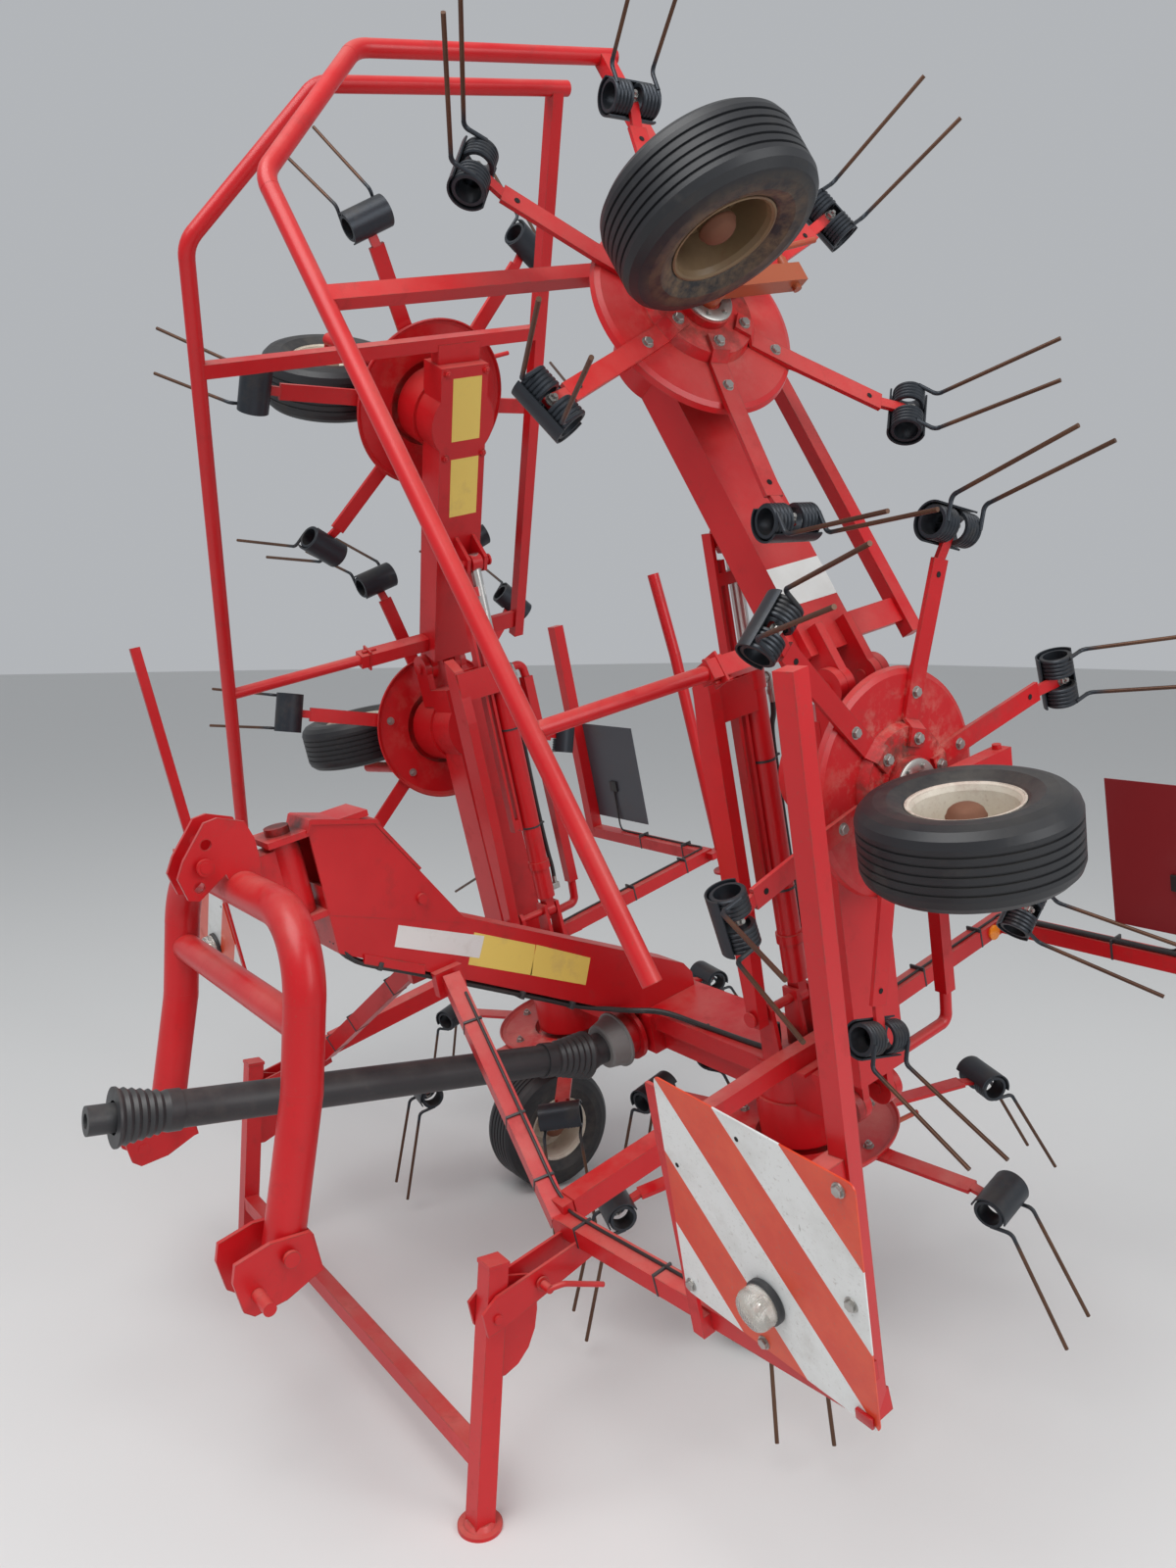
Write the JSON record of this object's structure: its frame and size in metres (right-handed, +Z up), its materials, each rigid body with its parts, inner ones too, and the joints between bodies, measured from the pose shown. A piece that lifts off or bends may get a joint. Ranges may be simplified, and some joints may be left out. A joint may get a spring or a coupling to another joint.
{
  "type": "mounted rotary hay tedder",
  "caption": "Mounted rotary hay tedder folded for transport: two hinged wings with tined rotors, gauge wheels, tube guards, marker frames and a parking stand.",
  "frame": {"origin": "on the ground, under the middle of the machine's footprint", "axes": "+X to the machine's left side, -Y forward to the hitch, +Z up"},
  "size_m": [3.259, 2.4931, 3.3744],
  "materials": {
    "paint": "weathered gloss paint",
    "marker": "striped sheet",
    "lens": "clear lens",
    "plate": "plain sheet",
    "dark_plastic": "matte",
    "grey_plastic": "matte",
    "bright_steel": "polished",
    "spring_steel": "worn dark coating",
    "tyre": "muddy rubber",
    "rim_paint": "cream paint"
  },
  "bodies": {
    "frame": {"main_beam": "paint", "centre_beam": "paint", "front_frame": "paint", "marker_panels": "marker", "marker_lamps": "lens", "rear_frame": "paint", "rear_panels": "plate", "drive_shaft": "dark_plastic", "shaft_bell": "grey_plastic", "leg_1L": "paint", "leg_1R": "paint"},
    "headstock": {"headstock": "paint"},
    "stand": {"stand": "paint"},
    "wing_inner_L": {"inner_beam_L": "paint", "leg_2L": "paint"},
    "wing_outer_L": {"outer_beam_L": "paint", "guard_L": "paint", "leg_3L": "paint"},
    "barrel_L": {"barrel_L": "paint"},
    "rod_L": {"rod_L": "bright_steel"},
    "rotor_1L": {"rotor_1L": "paint", "tines_1L": "spring_steel"},
    "wheel_1L": {"tyre_1L": "tyre", "rim_1L": "rim_paint"},
    "rotor_2L": {"rotor_2L": "paint", "tines_2L": "spring_steel"},
    "wheel_2L": {"tyre_2L": "tyre", "rim_2L": "rim_paint"},
    "rotor_3L": {"rotor_3L": "paint", "tines_3L": "spring_steel"},
    "wheel_3L": {"tyre_3L": "tyre", "rim_3L": "rim_paint"},
    "wing_inner_R": {"inner_beam_R": "paint", "leg_2R": "paint"},
    "wing_outer_R": {"outer_beam_R": "paint", "guard_R": "paint", "leg_3R": "paint"},
    "barrel_R": {"barrel_R": "paint"},
    "rod_R": {"rod_R": "bright_steel"},
    "rotor_1R": {"rotor_1R": "paint", "tines_1R": "spring_steel"},
    "wheel_1R": {"tyre_1R": "tyre", "rim_1R": "rim_paint"},
    "rotor_2R": {"rotor_2R": "paint", "tines_2R": "spring_steel"},
    "wheel_2R": {"tyre_2R": "tyre", "rim_2R": "rim_paint"},
    "rotor_3R": {"rotor_3R": "paint", "tines_3R": "spring_steel"},
    "wheel_3R": {"tyre_3R": "tyre", "rim_3R": "rim_paint"}
  },
  "joints": [
    {"name": "headstock_swing", "type": "hinge", "parent": "frame", "child": "headstock", "pos_m": [0, -0.75896, 1.29219], "axis": [0, -0.2295, 0.9733], "range_deg": [-12, 12]},
    {"name": "stand_swing", "type": "hinge", "parent": "frame", "child": "stand", "pos_m": [0, -0.6273, 0.47253], "axis": [1, 0, 0], "range_deg": [0, 88]},
    {"name": "inner_fold_L", "type": "hinge", "parent": "frame", "child": "wing_inner_L", "pos_m": [0.805, 0.41, 0.73566], "axis": [0, 0.9733, 0.2295], "range_deg": [0, 88]},
    {"name": "outer_fold_L", "type": "hinge", "parent": "wing_inner_L", "child": "wing_outer_L", "pos_m": [0.93229, 0.16526, 1.7734], "axis": [0, 0.9733, 0.2295], "range_deg": [0, 29.2]},
    {"name": "barrel_swing_L", "type": "hinge", "parent": "frame", "child": "barrel_L", "pos_m": [0.588, 0.38126, 0.94464], "axis": [0, 0.9733, 0.2295], "range_deg": [0, 88.4]},
    {"name": "rod_slide_L", "type": "slide", "parent": "barrel_L", "child": "rod_L", "axis": [0.0074, -0.2295, 0.9733], "range_m": [0, 0.4225]},
    {"name": "rotor_1L_turn", "type": "hinge", "parent": "frame", "child": "rotor_1L", "pos_m": [0.55, 0.45591, 0.541], "axis": [0, -0.2295, 0.9733], "continuous": true},
    {"name": "wheel_1L_roll", "type": "hinge", "parent": "frame", "child": "wheel_1L", "pos_m": [0.55, 0.35124, 0.205], "axis": [1, 0, 0], "continuous": true},
    {"name": "rotor_2L_turn", "type": "hinge", "parent": "wing_inner_L", "child": "rotor_2L", "pos_m": [1.03437, 0.21776, 1.5508], "axis": [-0.9994, -0.008, 0.034], "continuous": true},
    {"name": "wheel_2L_roll", "type": "hinge", "parent": "wing_inner_L", "child": "wheel_2L", "pos_m": [1.33718, 0.04597, 1.49942], "axis": [0.0349, -0.2294, 0.9727], "continuous": true},
    {"name": "rotor_3L_turn", "type": "hinge", "parent": "wing_outer_L", "child": "rotor_3L", "pos_m": [0.63016, -0.02492, 2.57979], "axis": [-0.8894, 0.1049, -0.4449], "continuous": true},
    {"name": "wheel_3L_roll", "type": "hinge", "parent": "wing_outer_L", "child": "wheel_3L", "pos_m": [0.89966, -0.23093, 2.67351], "axis": [-0.4571, -0.2042, 0.8657], "continuous": true},
    {"name": "inner_fold_R", "type": "hinge", "parent": "frame", "child": "wing_inner_R", "pos_m": [-0.805, 0.41, 0.73566], "axis": [0, -0.9733, -0.2295], "range_deg": [0, 88]},
    {"name": "outer_fold_R", "type": "hinge", "parent": "wing_inner_R", "child": "wing_outer_R", "pos_m": [-0.93229, 0.16526, 1.7734], "axis": [0, -0.9733, -0.2295], "range_deg": [0, 29.2]},
    {"name": "barrel_swing_R", "type": "hinge", "parent": "frame", "child": "barrel_R", "pos_m": [-0.588, 0.38126, 0.94464], "axis": [0, -0.9733, -0.2295], "range_deg": [0, 88.4]},
    {"name": "rod_slide_R", "type": "slide", "parent": "barrel_R", "child": "rod_R", "axis": [-0.0074, -0.2295, 0.9733], "range_m": [0, 0.4225]},
    {"name": "rotor_1R_turn", "type": "hinge", "parent": "frame", "child": "rotor_1R", "pos_m": [-0.55, 0.45591, 0.541], "axis": [0, -0.2295, 0.9733], "continuous": true},
    {"name": "wheel_1R_roll", "type": "hinge", "parent": "frame", "child": "wheel_1R", "pos_m": [-0.55, 0.35124, 0.205], "axis": [-1, 0, 0], "continuous": true},
    {"name": "rotor_2R_turn", "type": "hinge", "parent": "wing_inner_R", "child": "rotor_2R", "pos_m": [-1.03437, 0.21776, 1.5508], "axis": [0.9994, -0.008, 0.034], "continuous": true},
    {"name": "wheel_2R_roll", "type": "hinge", "parent": "wing_inner_R", "child": "wheel_2R", "pos_m": [-1.33718, 0.04597, 1.49942], "axis": [-0.0349, -0.2294, 0.9727], "continuous": true},
    {"name": "rotor_3R_turn", "type": "hinge", "parent": "wing_outer_R", "child": "rotor_3R", "pos_m": [-0.63016, -0.02492, 2.57979], "axis": [0.8894, 0.1049, -0.4449], "continuous": true},
    {"name": "wheel_3R_roll", "type": "hinge", "parent": "wing_outer_R", "child": "wheel_3R", "pos_m": [-0.89966, -0.23093, 2.67351], "axis": [0.4571, -0.2042, 0.8657], "continuous": true}
  ],
  "couplings": [
    {"joint": "barrel_swing_L", "follows": "inner_fold_L", "ratio": 0.99892},
    {"joint": "rod_slide_L", "follows": "inner_fold_L", "m_per_rad": 0.27315},
    {"joint": "barrel_swing_R", "follows": "inner_fold_R", "ratio": 0.99892},
    {"joint": "rod_slide_R", "follows": "inner_fold_R", "m_per_rad": 0.27315},
    {"joint": "rotor_1R_turn", "follows": "rotor_1L_turn", "ratio": -1},
    {"joint": "rotor_2L_turn", "follows": "rotor_1L_turn", "ratio": -1},
    {"joint": "rotor_3L_turn", "follows": "rotor_1L_turn", "ratio": 1},
    {"joint": "rotor_2R_turn", "follows": "rotor_1L_turn", "ratio": 1},
    {"joint": "rotor_3R_turn", "follows": "rotor_1L_turn", "ratio": -1}
  ]
}
